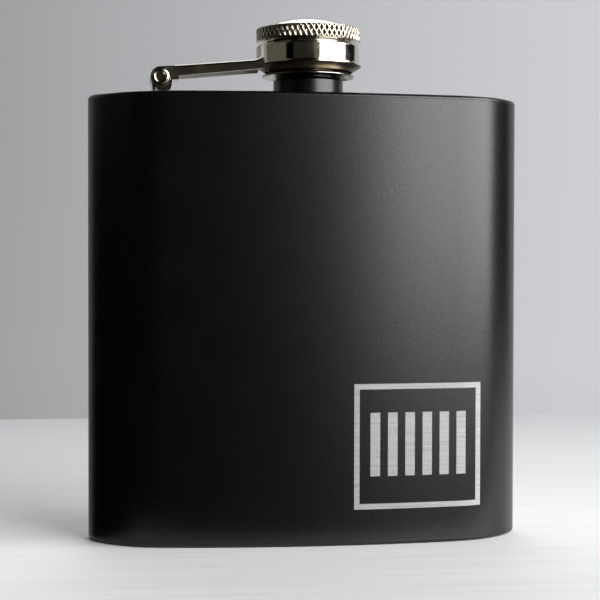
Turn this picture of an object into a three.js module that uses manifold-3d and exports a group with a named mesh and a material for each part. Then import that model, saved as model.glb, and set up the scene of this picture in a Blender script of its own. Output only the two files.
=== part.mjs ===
// Captive-top hip flask, 6 US fl oz, in millimetres with +Z up.
// The origin is the middle of the footprint, on the surface the flask stands on; the front faces -Y.
import * as THREE from "three";
import { mergeVertices } from "three/addons/utils/BufferGeometryUtils.js";
import Module from "manifold-3d";

const wasm = await Module();
wasm.setup();

// ---- Driving dimensions ----

// Body: a kidney section, rounded at the ends and hollowed at the back, drawn straight up
const bodyWidth = 94;
const bodyHeight = 95.3;
const middleThickness = 23; // front to back on the centre line
const frontRadius = 207; // the broad curve of the front
const shoulderRadius = 20; // where the front turns towards the ends
const endRadius = 9.5; // the rounded ends
const shoulderEnd = THREE.MathUtils.degToRad(60); // where the shoulder arc hands over to the end arc
const sheet = 0.7; // stainless sheet of the wall
const plate = 0.9; // top and bottom plates, rounded over by their whole thickness
const skirtDepth = 2.5; // the plates' flange, inside the wall
const weldGap = 0.05; // left between pieces that are welded face to face

// Spout, threaded outside, welded into the top plate
const spoutBore = 6;
const spoutCore = 6.9; // root of the thread
const spoutStub = 7.5; // plain part seen under the cap
const stubTop = 98.5;
const spoutTop = 104.2;
const spoutFoot = 93.4; // lower end of its sleeve, inside the flask
const threadPitch = 2;
const threadTurns = 1.6;
const threadStart = 99.6;

// Hinge pin, parallel to Y
const pinX = -31.9;
const pinZ = 98.75;
const pinRadius = 1.3;
const pinBore = 0.95;
const pinFlare = 1.8; // the rivet's rolled-over ends
const pinPlay = 0.1; // radial running clearance

// Arm: a channel, open underneath
const armSheet = 0.8;
const armHalfWidthHinge = 4;
const armHalfWidthCollar = 4.7;
const armEyeRadius = 2.1; // round ends of its two side walls
const armDepthCollar = 1.75; // height of the side walls at the collar
const armRise = 3.9; // top of the channel at the collar, above the pin
const armReach = 21.4; // from the pin to where the arm meets the collar
const bracketPlay = 0.3; // between the bracket and each side wall
const brazeGap = 0.3; // between the arm's end and the collar it is brazed to

// Collar: the ring that holds the cap
const collarRadius = 11.2;
const collarTop = 106;
const collarBottom = 101.7;
const collarSheet = 0.8;
const collarHole = 9.2; // in its top
const collarMouth = 9.45; // at the foot of its cone

// Cap: knurled head, threaded barrel rolled outwards below the collar, sealing disc
const capRadius = 11.2;
const headBottom = 106.8;
const headShoulder = 109.8;
const headTop = 111.95;
const headSheet = 0.7;
const barrelRadius = 8.75;
const barrelSheet = 0.55;
const barrelTop = 107.4;
const flareRadius = 10;
const flareBottom = 99.35;
const gasketBottom = 104.5;
const gasketTop = 106.7;
const gasketRadius = 7.7;

const roundSegments = 48; // around the spout, collar and cap
const arcSegments = 14; // along each arc of the body's section

// ---- Helpers ----

// A closed three.js geometry as a manifold solid, for joining and cutting.
function solid(geometry) {
  const bare = geometry.clone();
  bare.deleteAttribute("normal");
  bare.deleteAttribute("uv");
  const merged = mergeVertices(bare, 1e-4);
  return new wasm.Manifold(
    new wasm.Mesh({
      numProp: 3,
      vertProperties: merged.attributes.position.array,
      triVerts: new Uint32Array(merged.index.array),
    }),
  );
}

function geometryOf(manifold) {
  const { vertProperties, triVerts } = manifold.getMesh();
  return new THREE.BufferGeometry()
    .setAttribute("position", new THREE.BufferAttribute(vertProperties, 3))
    .setIndex(new THREE.BufferAttribute(triVerts, 1));
}

// A [radius, height] profile turned about the Z axis.
function turned(profile, segments = roundSegments) {
  const points = profile.map(([r, z]) => new THREE.Vector2(r, z));
  return new THREE.LatheGeometry(points, segments).rotateX(Math.PI / 2);
}

function box(x0, x1, y0, y1, z0, z1) {
  return new THREE.BoxGeometry(x1 - x0, y1 - y0, z1 - z0).translate(
    (x0 + x1) / 2, (y0 + y1) / 2, (z0 + z1) / 2,
  );
}

// A rod parallel to Y through the hinge pin's axis.
function crossRod(radius, halfLength, segments = 32) {
  return new THREE.CylinderGeometry(radius, radius, 2 * halfLength, segments).translate(pinX, 0, pinZ);
}

// An outline in X and Z, given from the pin, drawn out along Y to both sides of the middle.
function sideways(shape, halfWidth) {
  return new THREE.ExtrudeGeometry(shape, { depth: 2 * halfWidth, bevelEnabled: false, curveSegments: 24 })
    .rotateX(Math.PI / 2)
    .translate(pinX, halfWidth, pinZ);
}

// An outline in X and Y, drawn up from z0 to z1.
function upright(shape, z0, z1, y = 0) {
  return new THREE.ExtrudeGeometry(shape, { depth: z1 - z0, bevelEnabled: false }).translate(0, y, z0);
}

class Helix extends THREE.Curve {
  constructor(radius, pitch, turns, z0) {
    super();
    Object.assign(this, { radius, pitch, turns, z0 });
  }
  getPoint(t, target = new THREE.Vector3()) {
    const angle = 2 * Math.PI * this.turns * t;
    return target.set(
      this.radius * Math.cos(angle), this.radius * Math.sin(angle), this.z0 + this.pitch * this.turns * t,
    );
  }
}

// A rolled thread: a round ridge wound on a helix.
function threadRidge(radius, ridge, start) {
  const section = new THREE.Shape().absarc(0, 0, ridge, 0, 2 * Math.PI);
  return new THREE.ExtrudeGeometry(new THREE.Shape(section.getPoints(4).slice(0, -1)), {
    extrudePath: new Helix(radius, threadPitch, threadTurns, start),
    steps: Math.round(36 * threadTurns),
  });
}

// ---- The body's section ----

const halfPi = Math.PI / 2;
const frontAngle = Math.asin(
  (bodyWidth / 2 - endRadius - (shoulderRadius - endRadius) * Math.sin(shoulderEnd)) /
    (frontRadius - shoulderRadius),
);
const shoulderX = (frontRadius - shoulderRadius) * Math.sin(frontAngle);
const shoulderY = frontRadius - (frontRadius - shoulderRadius) * Math.cos(frontAngle);
const endX = shoulderX + (shoulderRadius - endRadius) * Math.sin(shoulderEnd);
const endY = shoulderY - (shoulderRadius - endRadius) * Math.cos(shoulderEnd);
const bodyDepth = endY + endRadius;
// The hollow back touches both end arcs and passes through the middle thickness.
const backRise = middleThickness - endY;
const backRadius = (endX ** 2 + backRise ** 2 - endRadius ** 2) / (2 * (endRadius - backRise));
const backCentreY = middleThickness + backRadius;
const backAngle = Math.atan2(backCentreY - endY, -endX); // from an end's centre towards the back's
const frontY = -bodyDepth / 2;
const neckY = frontY + middleThickness / 2;

function arc(x, y, radius, from, to) {
  return Array.from({ length: arcSegments }, (_, i) => {
    const a = from + ((to - from) * i) / arcSegments;
    return new THREE.Vector2(x + radius * Math.cos(a), y + frontY + radius * Math.sin(a));
  });
}

// The section's outline, drawn in from the outer surface by inset.
function outline(inset) {
  const f = frontRadius - inset;
  const s = shoulderRadius - inset;
  const e = endRadius - inset;
  const b = backRadius + inset;
  return [
    ...arc(0, frontRadius, f, -halfPi - frontAngle, -halfPi + frontAngle),
    ...arc(shoulderX, shoulderY, s, -halfPi + frontAngle, -halfPi + shoulderEnd),
    ...arc(endX, endY, e, -halfPi + shoulderEnd, backAngle),
    ...arc(0, backCentreY, b, backAngle - Math.PI, -backAngle),
    ...arc(-endX, endY, e, Math.PI - backAngle, 3 * halfPi - shoulderEnd),
    ...arc(-shoulderX, shoulderY, s, 3 * halfPi - shoulderEnd, 3 * halfPi - frontAngle),
  ];
}

// A band that follows the section, between two insets.
function band(outer, inner, z0, z1) {
  const shape = new THREE.Shape(outline(outer));
  shape.holes.push(new THREE.Path(outline(inner)));
  return upright(shape, z0, z1);
}

// An end plate: its outer edge is rounded over, and a flange runs inside the wall.
// It is made lying between z = 0 (outer face) and z = plate, with the flange above.
function endPlate() {
  const rounded = new THREE.ExtrudeGeometry(new THREE.Shape(outline(plate)), {
    depth: plate,
    bevelThickness: plate,
    bevelSize: plate,
    bevelSegments: 4,
  }).translate(0, 0, plate);
  const aboveIt = box(-bodyWidth, bodyWidth, -bodyWidth, bodyWidth, plate, 4 * plate);
  const skirtOuter = sheet + weldGap;
  const skirt = band(skirtOuter, skirtOuter + sheet, plate / 2, plate + skirtDepth);
  return solid(rounded).subtract(solid(aboveIt)).add(solid(skirt));
}

// ---- Flask ----

function bodyWall() {
  return band(0, sheet, plate + weldGap, bodyHeight - plate - weldGap);
}

function bottomPlate() {
  return geometryOf(endPlate());
}

function topPlate() {
  const hole = turned([[0, -plate], [spoutCore + pinPlay, -plate], [spoutCore + pinPlay, 9], [0, 9]]);
  const pierced = endPlate().subtract(solid(hole.translate(0, neckY, 0)));
  return geometryOf(pierced.mirror([0, 0, 1]).translate([0, 0, bodyHeight]));
}

function spout() {
  const seat = bodyHeight + weldGap;
  const tube = turned([
    [spoutBore, spoutFoot],
    [spoutCore, spoutFoot],
    [spoutCore, seat],
    [spoutStub, seat],
    [spoutStub, stubTop],
    [spoutCore, stubTop + 0.4],
    [spoutCore, spoutTop - 0.3],
    [spoutCore - 0.3, spoutTop],
    [spoutBore, spoutTop],
    [spoutBore, spoutFoot],
  ]);
  const ridge = threadRidge(spoutCore + 0.05, 0.5, threadStart);
  return geometryOf(solid(tube).add(solid(ridge)));
}

// A strap rolled round the pin: its leg stands on the top plate and its tail points at the spout.
function hingeBracket() {
  const knuckle = 2.35;
  const foot = bodyHeight + weldGap - pinZ;
  const strap = new THREE.Shape();
  strap.moveTo(-1.6, foot);
  strap.lineTo(1.5, foot);
  strap.quadraticCurveTo(2.3, foot + 0.9, 2.55, -0.55);
  strap.lineTo(3.95, -0.5);
  strap.lineTo(3.95, 0.5);
  strap.lineTo(2.45, 0.6);
  strap.absarc(0.25, -0.15, knuckle, 0.32, Math.PI + 0.5, false);
  strap.lineTo(-1.6, foot);
  const halfWidth = armHalfWidthHinge - armSheet - bracketPlay;
  const rolled = solid(sideways(strap, halfWidth));
  return geometryOf(rolled.subtract(solid(crossRod(pinRadius + pinPlay, armHalfWidthHinge))));
}

// ---- Arm and collar ----

function hingeArm() {
  const topAt = (x) => armEyeRadius + ((armRise - armEyeRadius) * x) / armReach;
  const side = new THREE.Shape();
  const end = armReach + 2;
  side.moveTo(end, armRise - armDepthCollar);
  side.lineTo(end, armRise + 1.6);
  side.quadraticCurveTo(armReach - 0.6, topAt(armReach), armReach - 1.8, topAt(armReach - 1.8));
  side.lineTo(0, armEyeRadius);
  side.absarc(0, 0, armEyeRadius, halfPi, 2 * Math.PI, false);
  const plan = (inset) => {
    const hinge = armHalfWidthHinge - inset;
    const collar = armHalfWidthCollar - inset;
    const outer = new THREE.Shape();
    outer.moveTo(pinX - 4, -hinge);
    outer.lineTo(pinX + 3, -hinge);
    outer.lineTo(pinX + end, -collar);
    outer.lineTo(pinX + end, collar);
    outer.lineTo(pinX + 3, hinge);
    outer.lineTo(pinX - 4, hinge);
    return upright(outer, pinZ - 6, pinZ + 8);
  };
  const webStart = 3; // the web leaves the knuckle room to turn
  const inside = new THREE.Shape();
  inside.moveTo(-4, -4);
  inside.lineTo(end + 1, -4);
  inside.lineTo(end + 1, topAt(end + 1) - armSheet);
  inside.lineTo(webStart, topAt(webStart) - armSheet);
  inside.lineTo(webStart, 7);
  inside.lineTo(-4, 7);
  const channel = solid(sideways(inside, 8)).intersect(solid(plan(armSheet)));
  const collarSpace = solid(turned([[0, 90], [collarRadius + brazeGap, 90], [collarRadius + brazeGap, 115], [0, 115]]));
  return geometryOf(
    solid(sideways(side, 8))
      .intersect(solid(plan(0)))
      .subtract(channel)
      .subtract(collarSpace)
      .subtract(solid(crossRod(pinRadius + pinPlay, 8)))
      .translate([0, neckY, 0]),
  );
}

// A tubular rivet, rolled over at both ends, turned about Y.
function hingeRivet() {
  const face = armHalfWidthHinge + weldGap;
  const profile = [
    [pinBore, -face - 0.2], [pinBore + 0.3, -face - 0.45], [pinFlare - 0.25, -face - 0.4],
    [pinFlare, -face - 0.15], [pinFlare, -face], [pinRadius, -face],
  ];
  const otherEnd = profile.map(([r, y]) => [r, -y]).reverse();
  const loop = [...profile, ...otherEnd, profile[0]].map(([r, y]) => new THREE.Vector2(r, y));
  return new THREE.LatheGeometry(loop, 32).translate(pinX, neckY, pinZ);
}

function swivelCollar() {
  const inner = collarRadius - collarSheet;
  return turned([
    [collarMouth, collarBottom - 1.25],
    [collarRadius + 0.2, collarBottom],
    [collarRadius + 0.2, collarBottom + 0.25],
    [collarRadius, collarBottom + 0.5],
    [collarRadius, collarTop - 0.25],
    [collarRadius - 0.25, collarTop],
    [collarHole, collarTop],
    [collarHole, collarTop - collarSheet],
    [inner, collarTop - collarSheet],
    [inner, collarBottom + 0.35],
    [collarMouth, collarBottom - 0.45],
    [collarMouth, collarBottom - 1.25],
  ]).translate(0, neckY, 0);
}

// ---- Cap ----

function capHead() {
  const domeRim = capRadius - 0.25;
  const dome = (radius, top, steps) => {
    const sphere = (domeRim ** 2 + (headTop - headShoulder) ** 2) / (2 * (headTop - headShoulder));
    return Array.from({ length: steps + 1 }, (_, i) => {
      const r = (radius * i) / steps;
      return [r, top - sphere + Math.sqrt(sphere ** 2 - r ** 2)];
    });
  };
  const inner = capRadius - 2 * headSheet; // left thick enough for the knurl
  return turned([
    [0, headTop - headSheet],
    ...dome(inner, headTop - headSheet, 4).slice(1),
    [inner, headBottom + headSheet],
    [barrelRadius + 0.3, headBottom + headSheet],
    [barrelRadius + 0.3, headBottom],
    [capRadius - 0.2, headBottom],
    [capRadius, headBottom + 0.2],
    [capRadius, headShoulder - 0.2],
    ...dome(domeRim, headTop, 8).reverse(),
  ]).translate(0, neckY, 0);
}

function capBarrel() {
  const bore = barrelRadius - barrelSheet;
  const cup = turned([
    [0, barrelTop - 0.6],
    [bore, barrelTop - 0.6],
    [bore, flareBottom + 1.3],
    [bore + 0.35, flareBottom + 0.7],
    [flareRadius - 0.35, flareBottom],
    [flareRadius - 0.1, flareBottom],
    [flareRadius, flareBottom + 0.15],
    [flareRadius - 0.1, flareBottom + 0.4],
    [barrelRadius + 0.25, flareBottom + 0.85],
    [barrelRadius, flareBottom + 1.4],
    [barrelRadius, barrelTop - 0.2],
    [barrelRadius - 0.2, barrelTop],
    [0, barrelTop],
  ]);
  const ridge = threadRidge(bore + 0.05, 0.45, threadStart + 1.3);
  return geometryOf(solid(cup).add(solid(ridge)).translate([0, neckY, 0]));
}

function capGasket() {
  return turned([
    [0, gasketBottom], [gasketRadius - 0.2, gasketBottom], [gasketRadius, gasketBottom + 0.2],
    [gasketRadius, gasketTop - 0.2], [gasketRadius - 0.2, gasketTop], [0, gasketTop],
  ]).translate(0, neckY, 0);
}

// ---- Assembly ----

const finish = (color, roughness, metalness) => () =>
  new THREE.MeshStandardMaterial({ color, roughness, metalness });
const blackCoat = finish(0x1b1b1d, 0.45, 0.1);
const nickel = finish(0xcfcdc6, 0.15, 1);
const brightSteel = finish(0xb9b7b2, 0.3, 1);
const sealPlastic = finish(0xe8e6df, 0.6, 0);

function add(group, name, geometry, material) {
  const mesh = new THREE.Mesh(geometry, material());
  mesh.name = name;
  group.add(mesh);
}

const flask = new THREE.Group();
add(flask, "body_wall", bodyWall(), blackCoat);
add(flask, "top_plate", topPlate(), blackCoat);
add(flask, "bottom_plate", bottomPlate(), blackCoat);
add(flask, "spout", spout().translate(0, neckY, 0), blackCoat);
add(flask, "hinge_bracket", hingeBracket().translate(0, neckY, 0), nickel);

const arm = new THREE.Group();
add(arm, "hinge_arm", hingeArm(), nickel);
add(arm, "hinge_rivet", hingeRivet(), nickel);
add(arm, "swivel_collar", swivelCollar(), nickel);

const cap = new THREE.Group();
add(cap, "cap_head", capHead(), nickel);
add(cap, "cap_barrel", capBarrel(), brightSteel);
add(cap, "cap_gasket", capGasket(), sealPlastic);

const hipFlask = new THREE.Group();
hipFlask.add(flask, arm, cap);

export default hipFlask;
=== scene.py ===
# %% [markdown]
# # A captive-top hip flask
#
# The object is a welded stainless can, coated satin black, with bright plated hardware on top. This
# lesson dresses the working model: it keeps the model's sizes and places, and gives each piece the
# bends, rounded edges and surface that a pressed, turned or coated part has. All sizes are in metres.

import math

import bmesh
import bpy
from mathutils import Matrix, Vector


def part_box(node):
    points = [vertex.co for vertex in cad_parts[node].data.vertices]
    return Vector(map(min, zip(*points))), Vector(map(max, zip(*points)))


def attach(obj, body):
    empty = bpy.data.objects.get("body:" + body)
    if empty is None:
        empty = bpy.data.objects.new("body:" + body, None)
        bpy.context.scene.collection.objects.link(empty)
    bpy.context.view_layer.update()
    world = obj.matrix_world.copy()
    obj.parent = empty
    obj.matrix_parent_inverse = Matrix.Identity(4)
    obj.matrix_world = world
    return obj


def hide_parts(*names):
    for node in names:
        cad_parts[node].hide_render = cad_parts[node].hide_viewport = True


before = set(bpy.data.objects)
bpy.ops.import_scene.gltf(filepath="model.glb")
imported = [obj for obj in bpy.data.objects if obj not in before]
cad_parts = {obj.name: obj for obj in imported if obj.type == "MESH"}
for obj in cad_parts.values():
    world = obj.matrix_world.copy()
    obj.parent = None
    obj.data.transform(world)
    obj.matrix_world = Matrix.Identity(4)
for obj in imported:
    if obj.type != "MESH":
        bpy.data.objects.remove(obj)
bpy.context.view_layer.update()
MM = 0.001
UP = Vector((0, 0, 1))

body_low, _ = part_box("body_wall")
spout_low, spout_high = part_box("spout")
front_y = body_low.y
neck_y = (spout_low.y + spout_high.y) / 2
flask_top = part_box("top_plate")[1].z
print("neck line at y = %.2f mm, flask top at z = %.2f mm" % (neck_y / MM, flask_top / MM))

# %% [markdown]
# ## Helpers for drawing
#
# Every piece starts from a primitive that is shaped in edit mode. Most sections here are drawn the
# way a draughtsman would: one point is put down, swung round arc centres with Spin, and pulled along
# straight lines with Extrude. Spin turns clockwise for a positive angle, so `swing` turns its sign
# round, and then angles grow anticlockwise as they do on paper.

# %% Drawing helpers
def rest():
    """Object mode with nothing selected."""
    if bpy.context.object and bpy.context.object.mode != "OBJECT":
        bpy.ops.object.mode_set(mode="OBJECT")
    bpy.ops.object.select_all(action="DESELECT")


def take(piece):
    """Object mode with this piece alone selected and active."""
    rest()
    piece.select_set(True)
    bpy.context.view_layer.objects.active = piece


def edit(piece):
    take(piece)
    bpy.ops.object.mode_set(mode="EDIT")


def named(name):
    piece = bpy.context.object
    piece.name = piece.data.name = name
    return piece


def put_down(name, point):
    """A new piece that is one point, in edit mode and selected."""
    rest()
    bpy.ops.mesh.primitive_plane_add(size=MM)
    piece = named(name)
    bpy.ops.object.mode_set(mode="EDIT")
    bpy.ops.mesh.select_mode(type="VERT")
    bpy.ops.mesh.select_all(action="SELECT")
    bpy.ops.mesh.merge(type="CENTER")
    bpy.ops.transform.translate(value=point)
    return piece


def pull(step):
    """Extrudes what is selected along step."""
    bpy.ops.mesh.extrude_region_move(TRANSFORM_OT_translate={"value": step})


def pull_point(step):
    bpy.ops.mesh.extrude_vertices_move(TRANSFORM_OT_translate={"value": step})


def swing(centre, degrees, steps, axis=UP):
    bpy.ops.mesh.spin(steps=steps, angle=-math.radians(degrees), center=centre, axis=axis)


def tidy(gap=0.002 * MM):
    """Merges doubles and turns every face outwards."""
    bpy.ops.mesh.select_all(action="SELECT")
    bpy.ops.mesh.remove_doubles(threshold=gap)
    bpy.ops.mesh.normals_make_consistent(inside=False)


def pick(piece, kind, test):
    """Selects the faces, edges or verts that pass the test, and returns how many."""
    bpy.ops.mesh.select_mode(type={"faces": "FACE", "edges": "EDGE", "verts": "VERT"}[kind])
    bpy.ops.mesh.select_all(action="DESELECT")
    mesh = bmesh.from_edit_mesh(piece.data)
    mesh.normal_update()
    found = [part for part in getattr(mesh, kind) if test(part)]
    for part in found:
        part.select_set(True)
    mesh.select_flush_mode()
    bmesh.update_edit_mesh(piece.data)
    return len(found)


def modify(piece, kind, **settings):
    """Adds a modifier and applies it."""
    take(piece)
    modifier = piece.modifiers.new(kind.title(), kind)
    for key, value in settings.items():
        setattr(modifier, key, value)
    bpy.ops.object.modifier_apply(modifier=modifier.name)


def combine(piece, other, operation):
    """Cuts or joins two closed meshes, and removes the other one."""
    modify(piece, "BOOLEAN", object=other, operation=operation, solver="EXACT")
    bpy.data.objects.remove(other)


def round_edges(piece, width, segments=3, angle=25):
    modify(
        piece, "BEVEL", width=width, segments=segments, limit_method="ANGLE",
        angle_limit=math.radians(angle), use_clamp_overlap=True,
    )


def complete(piece, body, stands_for, smooth=32):
    """Smooths the shading, checks that the mesh is closed, and hands the piece to its body.

    Weighted normals keep a big flat face flat right up to the small rounding beside it.
    """
    take(piece)
    bpy.ops.object.shade_smooth_by_angle(angle=math.radians(smooth))
    modify(piece, "WEIGHTED_NORMAL", mode="FACE_AREA", weight=50, keep_sharp=True)
    mesh = bmesh.new()
    mesh.from_mesh(piece.data)
    loose = sum(not edge.is_manifold for edge in mesh.edges)
    print("%s: %d faces, %d open edges, %.2f cm3" % (
        piece.name, len(mesh.faces), loose, mesh.calc_volume(signed=True) * 1e6,
    ))
    mesh.free()
    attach(piece, body)
    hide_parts(*stands_for)
    rest()
    return piece


# %% [markdown]
# ## The body's section
#
# Seen from above, the can is a kidney: a broad front curve, a tighter shoulder, a round end, and a
# hollow back that sits against a hip. Six arcs that touch without a corner make it. Their centres
# follow from the width, the depth and four radii, so one function draws the outline at any inset.

# %% Section of the can
front_radius = 207 * MM
shoulder_radius = 20 * MM
end_radius = 9.5 * MM
shoulder_end = 60  # degrees, where the shoulder hands over to the end arc
middle_thickness = 23 * MM
half_width = 47 * MM

tight = shoulder_radius - end_radius
front_angle = math.degrees(math.asin(
    (half_width - end_radius - tight * math.sin(math.radians(shoulder_end)))
    / (front_radius - shoulder_radius)
))


def on_front(radius, degrees):
    """A point that far below the front arc's centre, turned by an angle from straight ahead."""
    turn = math.radians(degrees)
    return Vector((radius * math.sin(turn), front_y + front_radius - radius * math.cos(turn), 0))


shoulder_centre = on_front(front_radius - shoulder_radius, front_angle)
end_centre = shoulder_centre + tight * Vector((
    math.sin(math.radians(shoulder_end)), -math.cos(math.radians(shoulder_end)), 0,
))
back_rise = front_y + middle_thickness - end_centre.y
back_radius = (
    (end_centre.x ** 2 + back_rise ** 2 - end_radius ** 2) / (2 * (end_radius - back_rise))
)
back_centre = Vector((0, front_y + middle_thickness + back_radius, 0))
end_turn = math.degrees(math.atan2(back_centre.y - end_centre.y, -end_centre.x)) + 90 - shoulder_end
back_turn = 2 * math.degrees(math.atan2(end_centre.x, back_centre.y - end_centre.y))


def mirrored(point):
    return Vector((-point.x, point.y, point.z))


def draw_section(name, inset, z):
    """The kidney outline as a closed loop of edges at height z."""
    lift = UP * z
    piece = put_down(name, on_front(front_radius - inset, -front_angle) + lift)
    swing(on_front(0, 0) + lift, 2 * front_angle, 48)
    swing(shoulder_centre + lift, shoulder_end - front_angle, 28)
    swing(end_centre + lift, end_turn, 40)
    swing(back_centre + lift, -back_turn, 40)
    swing(mirrored(end_centre) + lift, end_turn, 40)
    swing(mirrored(shoulder_centre) + lift, shoulder_end - front_angle, 28)
    bpy.ops.mesh.select_all(action="SELECT")
    bpy.ops.mesh.remove_doubles(threshold=0.01 * MM)
    return piece


print("front arc %.1f degrees, back radius %.0f mm" % (2 * front_angle, back_radius / MM))

# %% [markdown]
# ## The wall
#
# A strip of 0.7 mm stainless is bent round a former, seam-welded, ground flush and powder coated.
# The outline is extruded upwards and Solidify gives it the sheet's thickness on the inside, so the
# outer size stays exact. A tiny bevel at both ends leaves the fine line that shows where the plates
# were welded on, even through the coat.

# %% Wall
sheet = 0.7 * MM
plate = 0.9 * MM
seam = 0.07 * MM

wall = draw_section("flask_wall", 0, plate)
pull(UP * (flask_top - 2 * plate))
tidy()
modify(wall, "SOLIDIFY", thickness=sheet, offset=-1, use_even_offset=True)
edit(wall)
pick(wall, "edges", lambda e: e.calc_face_angle(0) > 1
     and abs(e.verts[0].co.z - e.verts[1].co.z) < seam)
bpy.ops.mesh.bevel(offset=seam, segments=2, affect="EDGES")
print("wall faces:", len(bmesh.from_edit_mesh(wall.data).faces))

# %% [markdown]
# ## The engraved mark
#
# A laser burns the black coat away and leaves a frosted pale surface. The mark is a plain one of no
# meaning: a square border round a block of equal upright bars. It is a skin cut from a copy of the
# wall's own front, so it follows the curve exactly: Bisect draws the outlines, the faces between
# them are deleted, and Solidify leaves it 0.02 mm proud. A real recess would need cuts right across
# the smooth wall, and those would show in its highlight.

# %% Mark
# Squares are given as left, right, low and high.
mark_square = (8.3 * MM, 36.4 * MM, 7.65 * MM, 34.1 * MM)
border = 1.15 * MM
bar_block = (11.8 * MM, 32.9 * MM, 14.6 * MM, 28.0 * MM)
bars = 6
bar_share = 0.55  # of the pitch
bar_pitch = (bar_block[1] - bar_block[0]) / (bars - 1 + bar_share)
bar_width = bar_share * bar_pitch
hollow_of_back = -5 * MM  # the front lies wholly nearer than this


def within(x, z, square, inset=0):
    left, right, low, high = square
    return left + inset < x < right - inset and low + inset < z < high - inset


def marked(face):
    x, _, z = face.calc_center_median()
    in_border = within(x, z, mark_square) and not within(x, z, mark_square, border)
    in_bar = within(x, z, bar_block) and (x - bar_block[0]) % bar_pitch < bar_width
    return face.normal.y < -0.5 and (in_border or in_bar)


take(wall)
bpy.ops.object.duplicate()
mark = named("engraved_mark")
edit(mark)
pick(mark, "faces", lambda f: f.normal.y > -0.5 or f.calc_center_median().y > hollow_of_back)
bpy.ops.mesh.delete(type="FACE")
upright_cuts = [
    bar_block[0] + bar * bar_pitch + side for bar in range(bars) for side in (0, bar_width)
]
upright_cuts += [mark_square[0], mark_square[0] + border, mark_square[1] - border, mark_square[1]]
level_cuts = [mark_square[2], mark_square[2] + border, mark_square[3] - border, mark_square[3]]
level_cuts += bar_block[2:]
for places, normal in ((upright_cuts, Vector((1, 0, 0))), (level_cuts, UP)):
    for place in places:
        bpy.ops.mesh.select_all(action="SELECT")
        bpy.ops.mesh.bisect(plane_co=normal * place, plane_no=normal, threshold=0.0001 * MM)
pick(mark, "faces", lambda f: not marked(f))
bpy.ops.mesh.delete(type="FACE")
modify(mark, "SOLIDIFY", thickness=0.03 * MM, offset=0.33)  # two thirds of it proud
print("mark: %.1f mm wide, %.1f mm high" % (
    (mark_square[1] - mark_square[0]) / MM, (mark_square[3] - mark_square[2]) / MM,
))
complete(wall, "flask", ["body_wall"])
complete(mark, "flask", [])

# %% [markdown]
# ## The end plates
#
# The top and bottom are flat blanks with the same outline, let into the wall's ends, welded all
# round and then linished until the edge is evenly round. The outline is filled, extruded by the
# plate's thickness, and the outer rim gets a wide bevel; a skirt inside the wall locates the plate.
# The bottom plate is the top one turned over, without the hole for the spout.

# %% End plates
skirt_depth = 2.5 * MM
skirt_gap = 0.05 * MM
spout_hole = 7 * MM


def pick_rims(piece, z, gap):
    """Selects the sharp edges that lie level at height z."""
    pick(piece, "edges", lambda e: all(abs(v.co.z - z) < gap for v in e.verts)
         and e.calc_face_angle(0) > 1)


def end_plate(name, z_face, outwards):
    """A plate whose outer face is at z_face and looks along outwards, +1 or -1."""
    z_seam = z_face - outwards * plate
    piece = draw_section(name, 0, z_seam)
    bpy.ops.mesh.edge_face_add()
    pull(UP * outwards * plate)
    tidy()
    pick_rims(piece, z_face, seam)
    bpy.ops.mesh.bevel(offset=plate - seam, segments=8, affect="EDGES")
    pick_rims(piece, z_seam, seam / 4)
    bpy.ops.mesh.bevel(offset=seam / 2, segments=2, affect="EDGES")
    rest()
    skirt = draw_section("skirt", sheet + skirt_gap, z_seam + outwards * plate / 2)
    pull(UP * -outwards * (skirt_depth + plate / 2))
    tidy()
    modify(skirt, "SOLIDIFY", thickness=sheet, offset=-1, use_even_offset=True)
    combine(piece, skirt, "UNION")
    return piece


def drill(piece, name, radius, place, depth, sides=48, turned=(0, 0, 0)):
    """Cuts a round hole through a piece."""
    rest()
    bpy.ops.mesh.primitive_cylinder_add(
        vertices=sides, radius=radius, depth=depth, location=place, rotation=turned,
    )
    combine(piece, named(name), "DIFFERENCE")


top_plate = end_plate("flask_top", flask_top, 1)
drill(top_plate, "spout_hole", spout_hole, (0, neck_y, flask_top), 6 * plate, 96)
complete(top_plate, "flask", ["top_plate"])
bottom_plate = end_plate("flask_bottom", 0, -1)
complete(bottom_plate, "flask", ["bottom_plate"])

# %% [markdown]
# ## Helpers for turned and folded pieces
#
# The neck, collar and cap are bodies of revolution, so a turner would start from a half section. The
# profile is a chain of points pulled out one after another, and Spin takes it all the way round. The
# arm and its bracket are folded strip, so their side view is drawn, filled and pulled across.

# %% Turning and folding helpers
def chain(name, points, closed=True):
    """An outline through the points, in edit mode."""
    piece = put_down(name, points[0])
    for start, end in zip(points, points[1:] + points[:1 if closed else 0]):
        pull_point(end - start)
    bpy.ops.mesh.select_all(action="SELECT")
    bpy.ops.mesh.remove_doubles(threshold=0.001 * MM)
    bpy.ops.mesh.select_all(action="SELECT")
    return piece


def turn(name, profile, foot, along=UP, steps=128):
    """Turns a half section of (radius, height) in mm about an axis through foot."""
    out = Vector((1, 0, 0))
    points = [foot + out * radius * MM + along * height * MM for radius, height in profile]
    piece = chain(name, points, closed=profile[0][0] > 0)
    swing(foot, 360, steps, along)
    tidy()
    return piece


def fold(name, side_view, half_width, centre):
    """Pulls a side view of (x, z) points in mm, drawn from centre, across to both sides."""
    near = Vector((0, -half_width, 0))
    piece = chain(name, [centre + near + Vector((x * MM, 0, z * MM)) for x, z in side_view])
    bpy.ops.mesh.edge_face_add()
    pull(-2 * near)
    tidy()
    return piece


def round_off(centre, radius, start, end, steps):
    """Points in mm on an arc from one angle to another, in degrees."""
    turns = [math.radians(start + (end - start) * step / steps) for step in range(steps + 1)]
    return [(centre[0] + radius * math.cos(t), centre[1] + radius * math.sin(t)) for t in turns]


def mm_box(node):
    """A CAD node's corners in mm."""
    low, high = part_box(node)
    return low / MM, high / MM


axis_foot = Vector((0, neck_y, 0))

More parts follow.
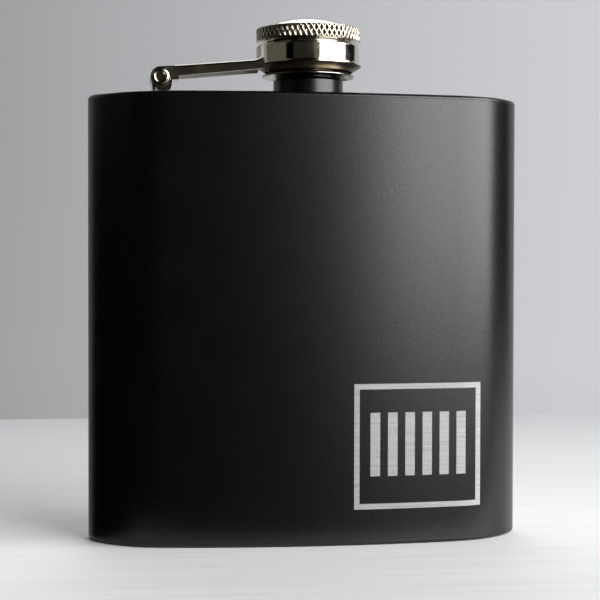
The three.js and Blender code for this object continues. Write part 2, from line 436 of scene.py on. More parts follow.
# %% [markdown]
# ## The spout
#
# The neck is a short stainless tube. Its plain lower part is coated with the can, and above it a
# rolled thread takes the cap. A rolled thread is a rounded ridge that fades out at both ends. Screw
# carries a small circle up the helix, the end rings are scaled down to nothing, and a union makes
# ridge and tube one piece.

# %% Spout
def thread(name, radius, ridge, start, pitch=2, turns=1.6, per_turn=72, fade=9):
    """A closed rounded ridge on a helix about the neck's axis. Lengths are in mm."""
    rest()
    bpy.ops.mesh.primitive_circle_add(
        vertices=10, radius=ridge * MM, location=(radius * MM, 0, start * MM),
        rotation=(math.radians(90), 0, 0), fill_type="NOTHING",
    )
    piece = named(name)
    bpy.ops.object.transform_apply(location=True, rotation=True, scale=True)
    steps = round(per_turn * turns)
    modify(
        piece, "SCREW", axis="Z", angle=math.tau * turns, screw_offset=pitch * turns * MM,
        steps=steps, render_steps=steps, use_merge_vertices=False,
    )
    edit(piece)
    for step in list(range(fade)) + list(range(steps - fade + 1, steps + 1)):
        turned = math.tau * step / per_turn
        centre = Vector((
            radius * MM * math.cos(turned), radius * MM * math.sin(turned),
            (start + pitch * step / per_turn) * MM,
        ))
        forward = Vector((-math.sin(turned), math.cos(turned), 0))
        pick(piece, "verts", lambda v: (v.co - centre).length < 1.5 * ridge * MM
             and abs((v.co - centre).dot(forward)) < 0.02 * MM)
        size = max(0.08, math.sqrt(min(step, steps - step) / fade))
        bpy.ops.transform.resize(value=(size, size, size), center_override=centre)
    bpy.ops.mesh.select_mode(type="VERT")
    bpy.ops.mesh.select_all(action="SELECT")
    bpy.ops.mesh.fill_holes(sides=12)
    tidy()
    bpy.ops.transform.translate(value=axis_foot)
    return piece


_, spout_top = mm_box("spout")
bore, tube, band = 6, 6.9, 7.5  # radii, mm
spout_profile = [(bore, 93.4), (tube, 93.4), (tube, 95.32)]  # inside the flask
spout_profile += [(band, 95.32), (band, 98.5), (tube, 98.9)]  # the plain lower part
spout_profile += [(tube, spout_top.z - 0.3), (tube - 0.3, spout_top.z), (bore, spout_top.z)]
spout = turn("spout_tube", spout_profile, axis_foot)
round_edges(spout, 0.12 * MM)
combine(spout, thread("spout_thread", 6.95, 0.5, 99.6), "UNION")
complete(spout, "flask", ["spout"])

# %% [markdown]
# ## The hinge bracket and its rivet
#
# A nickel strap is rolled round the pin into a knuckle. Its leg is brazed to the top plate and its
# tail points at the spout. A tubular rivet passes through the arm's two ears and the knuckle, and a
# bell punch rolls both its ends over into bright rings.

# %% Bracket and rivet
rivet_low, rivet_high = mm_box("hinge_rivet")
pin = Vector(((rivet_low.x + rivet_high.x) / 2, neck_y / MM, (rivet_low.z + rivet_high.z) / 2)) * MM
foot = (flask_top - pin.z) / MM + 0.02
pin_hole = 1.4 * MM
pin_reach = 20 * MM
crosswise = (math.radians(90), 0, 0)
knuckle_half = 2.9 * MM  # half the strap's width

bracket_view = [(-1.6, foot), (0.7, foot), (1.5, foot + 0.25), (2.1, foot + 0.8)]  # the leg
bracket_view += [(2.45, foot + 1.7), (2.55, -0.55)]
bracket_view += [(3.95, -0.5), (3.95, 0.5), (2.45, 0.6)]  # the tail
bracket_view += round_off((0.25, -0.15), 2.35, 20, 208, 28)  # the knuckle
bracket_view += [(-1.72, foot + 1.6)]
bracket = fold("hinge_knuckle", bracket_view, knuckle_half, pin)
drill(bracket, "pin_hole", pin_hole, pin, pin_reach, turned=crosswise)
gap_view = [(-0.95, foot - 1), (-0.45, foot - 1), (-0.45, foot + 0.5)]
gap_view += [(-0.8, foot + 1.1), (-0.95, foot + 0.8)]
combine(bracket, fold("strap_gap", gap_view, knuckle_half + 1.1 * MM, pin), "DIFFERENCE")
round_edges(bracket, 0.14 * MM, 3, 28)
complete(bracket, "flask", ["hinge_bracket"])

ear = 4.05  # half the width across the ears, mm
hollow, shank, lip = 0.95, 1.3, 0.425  # radii, mm
hollow_end = ear - 1.5
rivet_profile = [(0, hollow_end), (hollow - 0.15, hollow_end), (hollow, hollow_end + 0.15)]
rivet_profile += round_off((hollow + lip, ear), lip, 180, 0, 14)
rivet_profile += [(shank, ear), (shank, -ear)]
rivet_profile += round_off((hollow + lip, -ear), lip, 0, -180, 14)
rivet_profile += [(hollow, -hollow_end - 0.15), (hollow - 0.15, -hollow_end), (0, -hollow_end)]
rivet = turn("tube_rivet", rivet_profile, pin, Vector((0, 1, 0)), 72)
complete(rivet, "arm", ["hinge_rivet"])

# %% [markdown]
# ## The arm
#
# The arm is a channel folded from 0.8 mm strip, open underneath, wider at the collar than at the
# pin. It is drawn from the side with its round ears, drilled, trimmed by its plan, rounded along the
# two folds, hollowed, and coped to the collar, where its top flares up for the brazed joint.

# %% Arm
# All in mm. Reach and rise go from the pin to the strip's top at the collar.
strip = 0.8
eye = 2.1
reach, rise = 21.4, 3.9
arm_end = reach + 2
hinge_half, collar_half = 4, 4.7
coping_radius = 11.22
behind_ears = -4
parallel_end = 3  # the ears are parallel up to here, and then the arm widens
blank_half = 8


def arm_top(x):
    return eye + (rise - eye) * x / reach


def plan_view(name, hinge, collar):
    """The arm seen from above, as a tall block. Half widths in mm."""
    one_side = [(behind_ears, hinge), (parallel_end, hinge), (arm_end, collar)]
    outline = [(x, -y) for x, y in one_side] + one_side[::-1]
    piece = chain(name, [pin + Vector((x * MM, y * MM, -6 * MM)) for x, y in outline])
    bpy.ops.mesh.edge_face_add()
    pull(UP * 14 * MM)
    tidy()
    return piece


def on_fold(edge):
    """True on the two top edges of the strip, between the ears and the collar."""
    lengthwise = abs(edge.verts[0].co.y - edge.verts[1].co.y) < MM
    at_corner = all(
        v.co.x > pin.x + (parallel_end - 0.1) * MM and v.co.z > pin.z + (eye + 0.1) * MM
        and abs(v.co.y - neck_y) > (hinge_half - 0.1) * MM for v in edge.verts
    )
    return lengthwise and at_corner and edge.calc_face_angle(0) > 1.2


flare_tip = Vector((arm_end, rise + 1.6))
flare_bend = Vector((reach - 0.6, arm_top(reach)))
flare_start = Vector((reach - 1.8, arm_top(reach - 1.8)))
flare_steps = 8
side_view = [(arm_end, rise - 1.75)]
for step in range(flare_steps + 1):
    t = step / flare_steps
    side_view.append(tuple(
        flare_tip.lerp(flare_bend, t).lerp(flare_bend.lerp(flare_start, t), t)
    ))
side_view += round_off((0, 0), eye, 90, 360, 40)
arm = fold("hinge_arm_strip", side_view, blank_half * MM, pin)
drill(arm, "ear_holes", pin_hole, pin, pin_reach, turned=crosswise)
combine(arm, plan_view("arm_plan", hinge_half, collar_half), "INTERSECT")
edit(arm)
print("edges of the folds:", pick(arm, "edges", on_fold))
bpy.ops.mesh.bevel(offset=0.6 * MM, segments=5, affect="EDGES")
past_end, under, over = arm_end + 1, -4, 7
channel_view = [(behind_ears, under), (past_end, under), (past_end, arm_top(past_end) - strip)]
channel_view += [(parallel_end, arm_top(parallel_end) - strip)]
channel_view += [(parallel_end, over), (behind_ears, over)]
channel = fold("channel", channel_view, blank_half * MM, pin)
inside_plan = plan_view("channel_plan", hinge_half - strip, collar_half - strip)
combine(channel, inside_plan, "INTERSECT")
combine(arm, channel, "DIFFERENCE")
drill(arm, "coping", coping_radius * MM, (0, neck_y, pin.z), 50 * MM, 128)
round_edges(arm, 0.09 * MM, 2, 35)
complete(arm, "arm", ["hinge_arm"])


def inside_channel(face):
    """True on the unbuffed inner faces of the channel."""
    side = face.center.y - neck_y
    inner_side = face.normal.y * side < -0.5 * abs(side)
    underside = face.normal.z < -0.8 and abs(side) < 3 * MM
    return inner_side or underside


unbuffed = [face.index for face in arm.data.polygons if inside_channel(face)]
print("unbuffed faces:", len(unbuffed))

# %% [markdown]
# ## The swivel collar
#
# The ring that keeps the cap is pressed from sheet: a rounded top edge, a straight polished wall, a
# lip that flares a little, and a cone that turns in underneath. The cap's barrel turns inside it. The
# cone's faces are kept in a list for a darker plate: no buffing wheel reaches them, and the darker
# colour is also painted shade under the collar.

# %% Collar
_, collar_high = mm_box("swivel_collar")
collar_profile = [(9.45, 100.45), (11.3, 101.6)]  # the cone
collar_profile += [(11.4, 101.72), (11.4, 101.9), (11.32, 102.08), (11.2, 102.3)]  # the lip
collar_profile += round_off((10.8, collar_high.z - 0.4), 0.4, 0, 90, 6)
collar_profile += [(9.2, collar_high.z), (9.2, 105.2)]
collar_profile += round_off((10.1, 104.9), 0.3, 90, 0, 4)
collar_profile += [(10.4, 102.05), (9.45, 101.25)]
collar = turn("collar_ring", collar_profile, axis_foot)
round_edges(collar, 0.06 * MM, 2, 30)
complete(collar, "arm", ["swivel_collar"])
lip_foot = 102 * MM
# These faces get the darker plate, which is partly painted shade under the collar.
cone = [
    face.index for face in collar.data.polygons
    if face.normal.z < -0.6 and face.center.z < lip_foot
]
print("faces of the cone:", len(cone))

# %% [markdown]
# ## The cap's barrel and seal
#
# Under the collar the cap is a thin stainless cup, rolled with the thread that mates with the neck
# and flared at its mouth, so it can't be pulled up through the collar. A soft plastic disc inside it
# seals on the neck's rim.

# %% Barrel and seal
barrel_low, barrel_high = mm_box("cap_barrel")
flare_foot = barrel_low.z
barrel_profile = [(0, 106.8), (8.2, 106.8), (8.2, flare_foot + 1.3), (8.32, flare_foot + 0.95),
                  (8.6, flare_foot + 0.66), (9.65, flare_foot)]
barrel_profile += round_off((9.85, flare_foot + 0.18), 0.15, -100, 60, 6)
barrel_profile += [(9.1, flare_foot + 0.72), (8.88, flare_foot + 0.95), (8.75, flare_foot + 1.4)]
barrel_profile += round_off((8.5, barrel_high.z - 0.25), 0.25, 0, 90, 5)
barrel_profile += [(0, barrel_high.z)]
barrel = turn("cap_barrel_cup", barrel_profile, axis_foot)
combine(barrel, thread("barrel_thread", 8.25, 0.45, 100.9), "UNION")
complete(barrel, "cap", ["cap_barrel"])

seal_low, seal_high = mm_box("cap_gasket")
seal_profile = [(0, seal_low.z + 0.45), (4.2, seal_low.z + 0.45)]
seal_profile += round_off((4.75, seal_low.z + 0.4), 0.4, 180, 270, 5)
seal_profile += round_off((7.3, seal_low.z + 0.4), 0.4, 270, 360, 5)
seal_profile += round_off((7.4, seal_high.z - 0.3), 0.3, 0, 90, 4)
seal_profile += [(0, seal_high.z)]
seal = turn("seal_disc", seal_profile, axis_foot)
complete(seal, "cap", ["cap_gasket"])

# %% [markdown]
# ## The knurled head
#
# The head is turned and domed, and its rim is knurled into a lattice of raised ridges round
# diamond-shaped pits. One diamond is modelled: a four-sided face is inset step by step for the ridge
# and its middle is pushed in. Spin copies it sixty times round the rim, rows of it are staggered by
# half a pitch, and two bisects trim the lattice to the height of the rim and close it to a disc. The
# disc is joined to a turned solid head, and only then is the head hollowed, because a Boolean needs
# closed meshes.

# %% Head
head_low, head_high = mm_box("cap_head")
rim = head_high.x
rim_foot, rim_top = 106.98, 109.52
diamonds = 60
diamond_height = 2.0
ridge = ((0.045, 0.012), (0.075, 0.06), (0.09, 0.12))  # inset and drop of each step, mm
pit_depth = 0.36


def knurl_row(name, height, turned):
    """Sixty diamonds round the rim, centred at a height in mm."""
    half = math.pi / diamonds
    half_width = rim * math.sin(half)
    rest()
    bpy.ops.mesh.primitive_circle_add(
        vertices=4, radius=MM, fill_type="NGON", rotation=(math.radians(90), 0, 0),
    )
    piece = named(name)
    bpy.ops.object.transform_apply(location=True, rotation=True, scale=True)
    edit(piece)
    bpy.ops.mesh.select_mode(type="FACE")
    bpy.ops.mesh.select_all(action="SELECT")
    bpy.ops.transform.resize(value=(half_width, 1, diamond_height / 2), center_override=(0, 0, 0))
    for inset, drop in ridge:
        bpy.ops.mesh.inset(thickness=inset * MM, depth=0)
        bpy.ops.transform.translate(value=(0, drop * MM, 0))
    bpy.ops.mesh.poke()
    pick(piece, "verts", lambda v: Vector((v.co.x, 0, v.co.z)).length < 0.01 * MM)
    bpy.ops.transform.translate(value=(0, (pit_depth - sum(drop for _, drop in ridge)) * MM, 0))
    pick(piece, "verts", lambda v: abs(v.co.x) > 0.97 * half_width * MM)
    bpy.ops.transform.translate(value=(0, rim * (1 - math.cos(half)) * MM, 0))
    bpy.ops.mesh.select_all(action="SELECT")
    bpy.ops.transform.translate(value=(0, neck_y - rim * MM, height * MM))
    bpy.ops.transform.rotate(value=turned, orient_axis="Z", center_override=axis_foot)
    bpy.ops.mesh.spin(
        steps=diamonds - 1, angle=2 * math.pi * (1 - 1 / diamonds),
        center=axis_foot, axis=UP, dupli=True,
    )
    rest()
    return piece


rows = [
    knurl_row("knurl_row", rim_top - 0.8 - row * diamond_height / 2, (row % 2) * math.pi / diamonds)
    for row in range(-1, 3)
]
for row in rows:
    row.select_set(True)
bpy.context.view_layer.objects.active = rows[0]
bpy.ops.object.join()
knurl = rows[0]
edit(knurl)
tidy(0.01 * MM)
for height, side in ((rim_top, 1), (rim_foot, -1)):
    bpy.ops.mesh.select_all(action="SELECT")
    bpy.ops.mesh.bisect(
        plane_co=(0, 0, height * MM), plane_no=(0, 0, side), clear_outer=True, use_fill=True,
        threshold=0.0001 * MM,
    )
tidy(0.001 * MM)
rest()

root = 10.76  # the head's radius under the knurl, mm
dome_rim = 10.98
dome_rise = head_high.z - rim_top - 0.1
dome_radius = (dome_rim ** 2 + dome_rise ** 2) / (2 * dome_rise)


def dome(radius, top):
    """Points from the rim of a dome to its middle, in mm."""
    steps = 28
    return [
        (r, top - dome_radius + math.sqrt(dome_radius ** 2 - r ** 2))
        for r in (radius * (1 - step / steps) for step in range(steps + 1))
    ]


mouth, room = 9.05, 9.8  # radii of the hollow, mm
hollow_profile = [(0, 100), (mouth, 100), (mouth, 107.5), (room, 107.5)]
hollow_profile += dome(room, head_high.z - 0.7)
head_profile = [(0, head_low.z), (root - 0.06, head_low.z), (root, head_low.z + 0.06)]
head_profile += [(root, rim_top - 0.04), (11.08, rim_top - 0.02)]
head_profile += round_off((11.06, rim_top + 0.04), 0.06, -60, 60, 4)
head_profile += dome(dome_rim, head_high.z)
head = turn("cap_head_knurled", head_profile, axis_foot, steps=180)
combine(head, knurl, "UNION")
combine(head, turn("hollow", hollow_profile, axis_foot, steps=90), "DIFFERENCE")
complete(head, "cap", ["cap_head"], smooth=48)


def in_pit(face):
    """True on the knurl's faces that lie below its ridges."""
    radius = math.hypot(face.center.x, face.center.y - neck_y)
    below_ridges = root + 0.01 < radius / MM < rim - 0.13
    return below_ridges and rim_foot < face.center.z / MM < rim_top


# These faces get the darker plate, which is partly painted shade in the pits.
pits = [face.index for face in head.data.polygons if in_pit(face)]
print("faces in the pits:", len(pits))

# %% [markdown]
# ## Materials
#
# A small set of tools first: hex colours turned to linear light, and one function that adds a node
# with its settings and links. Patterns use Object coordinates, which are metres here, so a noise
# scale is one over the size of its grains.

# %% Material tools
def linear(colour):
    """An sRGB hex colour as linear light with alpha."""
    channels = [int(colour[place:place + 2], 16) / 255 for place in (1, 3, 5)]
    return tuple(
        c / 12.92 if c <= 0.04045 else ((c + 0.055) / 1.055) ** 2.4 for c in channels
    ) + (1,)


def add(material, kind, inputs=None, **settings):
    """Adds a node. An input is a value, or another node's output to link from."""
    node = material.node_tree.nodes.new("ShaderNode" + kind)
    for key, value in settings.items():
        setattr(node, key, value)
    for socket, value in (inputs or {}).items():
        if isinstance(value, bpy.types.NodeSocket):
            material.node_tree.links.new(value, node.inputs[socket])
        else:
            node.inputs[socket].default_value = value
    return node


def finish_called(name):
    material = bpy.data.materials.new(name)
    material.use_nodes = True
    material.node_tree.nodes.clear()
    place = add(material, "TexCoord").outputs["Object"]
    return material, place


def output(material, shader):
    add(material, "OutputMaterial", {"Surface": shader.outputs[0]})
    return material


def grain(material, place, size, detail=3, roughness=0.5, stretch=(1, 1, 1)):
    """Noise whose grains are size metres across, or longer along an axis with stretch above 1."""
    scaled = add(material, "Mapping", {"Vector": place, "Scale": [1 / s for s in stretch]})
    return add(material, "TexNoise", {
        "Vector": scaled.outputs[0], "Scale": 1 / size, "Detail": detail, "Roughness": roughness,
    }).outputs[0]


def spread(material, value, low, high, start=0.3, end=0.7):
    """Maps a pattern's usual span to the span low to high."""
    return add(material, "MapRange", {
        "Value": value, "From Min": start, "From Max": end, "To Min": low, "To Max": high,
    }).outputs[0]


def between(material, factor, first, second):
    """Mixes two hex colours by a pattern."""
    return add(
        material, "Mix", {0: factor, 6: linear(first), 7: linear(second)}, data_type="RGBA",
    ).outputs[2]


def relief(material, height, depth, strength=1.0, under=None):
    """A bump whose height pattern of 0 to 1 stands for depth metres."""
    inputs = {"Height": height, "Distance": depth, "Strength": strength}
    if under:
        inputs["Normal"] = under
    return add(material, "Bump", inputs).outputs[0]


# %% [markdown]
# Satin black powder coat: polyester powder fused in an oven. It gives a soft wide highlight, a faint
# orange peel about a millimetre across, and a fine grit from the matting agent. The grit is really
# some 30 micrometres; it is drawn at 0.16 mm so that it shows.

# %% Powder coat
def powder_coat():
    coat_finish, place = finish_called("satin_black_powder_coat")
    peel = grain(coat_finish, place, 1.1 * MM, 2)
    grit = grain(coat_finish, place, 0.16 * MM, 2, 0.6)
    cloud = grain(coat_finish, place, 9 * MM, 3)
    bumps = relief(coat_finish, peel, 0.03 * MM, 0.3)
    bumps = relief(coat_finish, grit, 0.012 * MM, 0.5, bumps)
    return output(coat_finish, add(coat_finish, "BsdfPrincipled", {
        "Base Color": between(coat_finish, spread(coat_finish, cloud, 0, 1), "#030304", "#060607"),
        "Roughness": spread(coat_finish, grit, 0.25, 0.31),
        "IOR": 1.5,
        "Normal": bumps,
    }))


# %% [markdown]
# Bright nickel plate on pressed brass and steel: buffed, so it mirrors the studio with a warm tint,
# and handled, so a faint haze lies over it in patches with hairlines where cloths have rubbed.

# %% Nickel plate
def nickel_plate():
    nickel, place = finish_called("bright_nickel_plate")
    haze = grain(nickel, place, 3.5 * MM, 4)
    hairlines = grain(nickel, place, 0.12 * MM, 2, 0.6, (14, 14, 1))
    waviness = grain(nickel, place, 4 * MM, 1)
    bumps = relief(nickel, waviness, 0.03 * MM, 0.25)
    bumps = relief(nickel, hairlines, 0.002 * MM, 0.25, bumps)
    return output(nickel, add(nickel, "BsdfPrincipled", {
        "Base Color": between(nickel, spread(nickel, haze, 0, 1), "#d3cbb9", "#e0dacb"),
        "Metallic": 1.0,
        "Roughness": spread(nickel, haze, 0.06, 0.15),
        "Normal": bumps,
    }))


# %% [markdown]
# The inside of the folded arm can't be reached by the buffing wheel, so the plate there stays satin.
# Its haze scatters light as a pale paint would, and a metallic value of a half stands for that.

# %% Satin nickel
def satin_nickel():
    nickel, place = finish_called("satin_nickel_plate")
    haze = grain(nickel, place, 1.2 * MM, 4)
    return output(nickel, add(nickel, "BsdfPrincipled", {
        "Base Color": between(nickel, spread(nickel, haze, 0, 1), "#dedad0", "#e8e5dc"),
        "Metallic": 0.5,
        "Roughness": spread(nickel, haze, 0.55, 0.65),
        "Normal": relief(nickel, haze, 0.02 * MM, 0.3),
    }))


# %% [markdown]
# In the knurl's pits the plate is thin and never buffed, and handling leaves a brownish film there.
# Their dark colour is also painted shade, where the deep pits lie in shadow, so the ridges stand out
# bright against them. The collar's cone, which looks down at the flask, gets the same dark plate as
# painted shade under the collar, which dims its reflection.

# %% Dull nickel and painted shade
def dull_nickel_with_painted_shade():
    nickel, place = finish_called("dull_nickel_plate_and_painted_shade")
    film = grain(nickel, place, 0.6 * MM, 3)
    return output(nickel, add(nickel, "BsdfPrincipled", {
        # Painted shade: this dark brown stands for shadow in the knurl's pits and under the collar's
        # cone, on top of the film in the pits.
        "Base Color": between(nickel, spread(nickel, film, 0, 1), "#665a4a", "#867a67"),
        "Metallic": 1.0,
        "Roughness": spread(nickel, film, 0.3, 0.42),
        "Normal": relief(nickel, film, 0.02 * MM, 0.3),
    }))


# %% [markdown]
# Turned stainless: the barrel is spun from tube and left with the fine rings of the tool, 0.1 mm
# apart, drawn at 0.15 mm. It is a little darker and duller than the plate.

# %% Turned stainless
def turned_stainless():
    steel, place = finish_called("turned_stainless_steel")
    rings = grain(steel, place, 0.15 * MM, 2, 0.6, (400, 400, 1))
    cloud = grain(steel, place, 3 * MM, 3)
    return output(steel, add(steel, "BsdfPrincipled", {
        "Base Color": between(steel, spread(steel, cloud, 0, 1), "#bdb9ae", "#cbc8be"),
        "Metallic": 1.0,
        "Roughness": spread(steel, rings, 0.12, 0.26),
        "Normal": relief(steel, rings, 0.006 * MM, 0.5),
    }))


# %% [markdown]
# Laser-etched steel: the beam strips the coat in passes and leaves bare metal with a frosted, finely
# hatched surface. The hatch is really 0.05 mm apart and is drawn at 0.3 mm. The frost is partly an
# oxide, so the finish is not all metal.

# %% Etched steel
def etched_steel():
    etch, place = finish_called("laser_etched_steel")
    passes = grain(etch, place, 0.3 * MM, 2, 0.6, (60, 60, 1))
    speckle = grain(etch, place, 0.35 * MM, 3, 0.6)
    tone = add(etch, "Math", {0: passes, 1: speckle}, operation="ADD").outputs[0]
    return output(etch, add(etch, "BsdfPrincipled", {
        "Base Color": between(etch, spread(etch, tone, 0, 1, 0.7, 1.3), "#888a8b", "#aaacad"),
        "Metallic": 0.6,
        "Roughness": spread(etch, speckle, 0.5, 0.65),
        "Normal": relief(etch, tone, 0.02 * MM, 0.4),
    }))


# %% [markdown]
# The seal is milky polyethylene, moulded and slightly waxy: light goes a little way in and its
# surface is dull with a soft sheen.

# %% Polyethylene
def milky_polyethylene():
    plastic, place = finish_called("milky_polyethylene")
    cloud = grain(plastic, place, 1.5 * MM, 3)
    return output(plastic, add(plastic, "BsdfPrincipled", {
        "Base Color": between(plastic, spread(plastic, cloud, 0, 1), "#e2dfd5", "#efede6"),
        "Roughness": spread(plastic, cloud, 0.42, 0.55),
        "IOR": 1.52,
        "Subsurface Weight": 0.25,
        "Subsurface Scale": 0.001,
        "Normal": relief(plastic, cloud, 0.02 * MM, 0.2),
    }))


# %% [markdown]
# Each finish goes on its pieces. The nickel ones get a second finish on the faces kept in the lists.

# %% Finishes on the pieces
finishes = {
    powder_coat(): (wall, top_plate, bottom_plate, spout),
    nickel_plate(): (bracket, rivet, arm, collar, head),
    turned_stainless(): (barrel,),
    etched_steel(): (mark,),
    milky_polyethylene(): (seal,),
}
for material, pieces in finishes.items():
    for piece in pieces:
        piece.data.materials.clear()
        piece.data.materials.append(material)
    print(material.name, "on", ", ".join(piece.name for piece in pieces))
# The second finish on the knurl's pits and the collar's cone is partly painted shade.
satin, dull_and_shaded_plate = satin_nickel(), dull_nickel_with_painted_shade()
for piece, finish, faces in ((arm, satin, unbuffed), (head, dull_and_shaded_plate, pits), (collar, dull_and_shaded_plate, cone)):
    piece.data.materials.append(finish)
    for index in faces:
        piece.data.polygons[index].material_index = 1
    print(finish.name, "on", len(faces), "faces of", piece.name)

# %% [markdown]
# ## The studio
#
# The flask stands on a pale painted table that ends a little behind it, in front of a curved grey
# wall. Its near and left parts are boards of their own that mirrors don't see, and beyond the lamps
# the room is dark: that keeps the black coat black. The world's grey is only what a camera sees.

# %% Table and wall
edge_y = front_y + 0.29
near_y = front_y - 0.012
left_x = body_low.x - 0.003
table_half, table_near = 1.6, -1.4
board_thickness = 0.03


def board(name, x_left, x_right, y_near, y_far, rounded=False):
    """A flat board with its top at z = 0. Its far edge can be rounded."""
    rest()
    bpy.ops.mesh.primitive_cube_add(size=1)
    piece = named(name)
    edit(piece)
    bpy.ops.mesh.select_all(action="SELECT")
    bpy.ops.transform.resize(value=(x_right - x_left, y_far - y_near, board_thickness))
    middle = ((x_right + x_left) / 2, (y_far + y_near) / 2, -board_thickness / 2)
    bpy.ops.transform.translate(value=middle)
    if rounded:
        pick(piece, "edges", lambda e: all(v.co.y > y_far - MM and v.co.z > -MM for v in e.verts))
        bpy.ops.mesh.bevel(offset=6 * MM, segments=6, affect="EDGES")
    take(piece)
    bpy.ops.object.shade_smooth_by_angle(angle=math.radians(40))
    return piece


table = board("table", left_x, table_half, near_y, edge_y, rounded=True)
left_table = board("table_left_part", -table_half, left_x, near_y, edge_y, rounded=True)
near_table = board("table_near_part", -table_half, table_half, table_near, near_y)
left_table.visible_glossy = False
near_table.visible_glossy = False

wall_radius = 0.95
wall_foot, wall_height = -0.6, 1.9
wall_start, wall_sweep = math.radians(26), 120  # anticlockwise from the right
back_wall = put_down("curved_wall", (
    wall_radius * math.cos(wall_start), wall_radius * math.sin(wall_start), wall_foot,
))
swing((0, 0, wall_foot), wall_sweep, 64)
bpy.ops.mesh.select_all(action="SELECT")
pull((0, 0, wall_height))
take(back_wall)
bpy.ops.object.shade_smooth()
print("table ends at y = %.3f m, wall at %.2f m" % (edge_y, wall_radius))

# %% [markdown]
# Brushed white paint on the table's wood: long streaks along the grain, and painted shade that greys
# it towards the far end. The window is near, so the table under it would be far too bright; the paint
# darkens towards it as painted shade, and the table keeps an even tone. The wall is rolled matt grey,
# with painted light that makes it paler to the right.

# %% Paint on the table and the wall
window_azimuth = 49  # degrees, from the front towards the right
turned_to_window = math.radians(window_azimuth)


def painted_wood():
    paint, place = finish_called("pale_painted_wood")
    parts = add(paint, "SeparateXYZ", {"Vector": place})
    streaks = grain(paint, place, 2.2 * MM, 4, 0.55, (30, 1, 1))
    # Painted shade: the paint greys towards the table's far end.
    far_painted_shade = spread(paint, parts.outputs["Y"], 0, 1, edge_y - 0.25, edge_y)
    brushed = between(paint, spread(paint, streaks, 0, 1), "#efeff0", "#fafafa")
    shaded = add(
        paint, "Mix", {0: far_painted_shade, 6: brushed, 7: linear("#c6c7ca")}, data_type="RGBA",
    ).outputs[2]
    towards_window = add(
        paint, "VectorMath",
        {0: place, 1: (math.sin(turned_to_window), -math.cos(turned_to_window), 0)},
        operation="DOT_PRODUCT",
    ).outputs["Value"]
    under_window = spread(paint, towards_window, 0, 1, 0.1, 0.45)
    evened = add(
        paint, "Mix", {0: under_window, 6: shaded, 7: linear("#6f7072")}, data_type="RGBA",
    ).outputs[2]
    return output(paint, add(paint, "BsdfPrincipled", {
        "Base Color": evened,
        "Roughness": 0.6,
        "Normal": relief(paint, streaks, 0.05 * MM, 0.2),
    }))


def matt_wall():
    paint, place = finish_called("matt_grey_wall_paint")
    parts = add(paint, "SeparateXYZ", {"Vector": place})
    # Painted light: the wall is paler to the right, where the window light falls.
    painted_light_rightwards = spread(paint, parts.outputs["X"], 0, 1, -0.25, 0.35)
    roller = grain(paint, place, 2 * MM, 2)
    return output(paint, add(paint, "BsdfPrincipled", {
        "Base Color": between(paint, painted_light_rightwards, "#868889", "#cccdd1"),
        "Roughness": 0.8,
        "Normal": relief(paint, roller, 0.1 * MM, 0.2),
    }))


wood = painted_wood()
for piece in (table, left_table, near_table):
    piece.data.materials.append(wood)
back_wall.data.materials.append(matt_wall())
print(wood.name, "on the table,", back_wall.data.materials[0].name, "on the wall")

# %% [markdown]
# Light comes from one broad window to the right and in front, with a smaller pane higher up beside
# it, and from a soft panel high behind the flask. Four weak cards stand for the room that the nickel
# mirrors: two on the left, one in front and one beside the window. They are set so high that the
# upright coated front doesn't mirror them and stays black. A low lamp washes the wall.

# %% Lights
centre = Vector((0, 0, 0.06))


def panel(name, azimuth, elevation, distance, width, height, power, colour="#ffffff"):
    """A rectangular area light that faces the flask. Azimuth is from the front towards the right."""
    turn_z, lift = math.radians(azimuth), math.radians(elevation)
    direction = Vector((
        math.sin(turn_z) * math.cos(lift), -math.cos(turn_z) * math.cos(lift), math.sin(lift),
    ))
    rest()
    bpy.ops.object.light_add(type="AREA", location=centre + direction * distance)
    lamp = bpy.context.object
    lamp.name = name
    lamp.rotation_euler = direction.to_track_quat("Z", "Y").to_euler()
    lamp.data.shape = "RECTANGLE"
    lamp.data.size = width
    lamp.data.size_y = height
    lamp.data.energy = power
    lamp.data.color = linear(colour)[:3]
    lamp.visible_camera = False
    print(name, "at", [round(c, 2) for c in lamp.location])
    return lamp


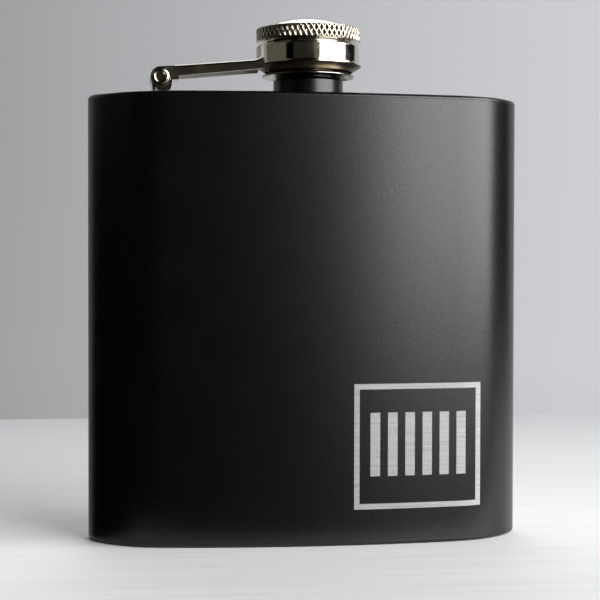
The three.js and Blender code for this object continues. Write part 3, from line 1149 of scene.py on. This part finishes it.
panel("window", window_azimuth, 19.3, 1.2, 1.39, 0.91, 31)
panel("window_top", 84, 34, 1.2, 0.6, 0.7, 3)
panel("back_panel", 180, 32, 1.1, 1.8, 0.8, 16)
panel("left_card", -124, 19, 0.9, 0.36, 0.34, 0.15, "#f4f2ea")
panel("grey_card", -85, 29, 0.9, 0.93, 0.69, 0.26, "#f2f0dc")
panel("room_card", -17, 19, 0.9, 0.764, 0.34, 0.026, "#dcdcc4")
panel("window_frame", 9.5, 19, 0.95, 0.14, 0.34, 0.022, "#e6dcb4")
wall_wash = panel("wall_wash", 165, -30, 0.62, 1.4, 0.25, 1.6)
wall_wash.rotation_euler = (math.radians(118), 0, math.radians(-10))  # up at the wall, not the flask

world = bpy.data.worlds.new("dim_room")
world.use_nodes = True
background = world.node_tree.nodes["Background"]
background.inputs["Color"].default_value = linear("#a6a8ad")
background.inputs["Strength"].default_value = 1.0
bpy.context.scene.world = world
world.cycles_visibility.diffuse = False
world.cycles_visibility.glossy = False
bpy.context.scene.view_settings.view_transform = "Standard"

# %% [markdown]
# ## The camera
#
# It stands 330 mm from the flask, a little to the left and below the shoulder, so the front is seen
# almost straight on and the collar from just below.

# %% Camera
distance, side_angle, eye_height = 0.330, -8.558, 0.0592
aside, tilt, lean = 0.567, 1.286, 0.109  # degrees off a level view at the flask's axis
lens = 94.785
heading = math.radians(side_angle + aside)
pitch = math.radians(tilt)
roll = math.radians(lean)
forward = Vector((
    -math.sin(heading) * math.cos(pitch), math.cos(heading) * math.cos(pitch), -math.sin(pitch),
))
level_right = Vector((math.cos(heading), math.sin(heading), 0))
level_up = level_right.cross(forward)
right = level_right * math.cos(roll) + level_up * math.sin(roll)
above = level_up * math.cos(roll) - level_right * math.sin(roll)

rest()
bpy.ops.object.camera_add(location=(
    distance * math.sin(math.radians(side_angle)),
    front_y - distance * math.cos(math.radians(side_angle)),
    eye_height,
))
camera = bpy.context.object
camera.name = "camera"
turned_axes = Matrix((right, above, -forward)).transposed()
camera.rotation_euler = turned_axes.to_euler()
camera.data.sensor_width = 36
camera.data.lens = lens
camera.data.clip_start = 0.01
bpy.context.scene.camera = camera
print("camera at", [round(c, 4) for c in camera.location], "lens", lens)
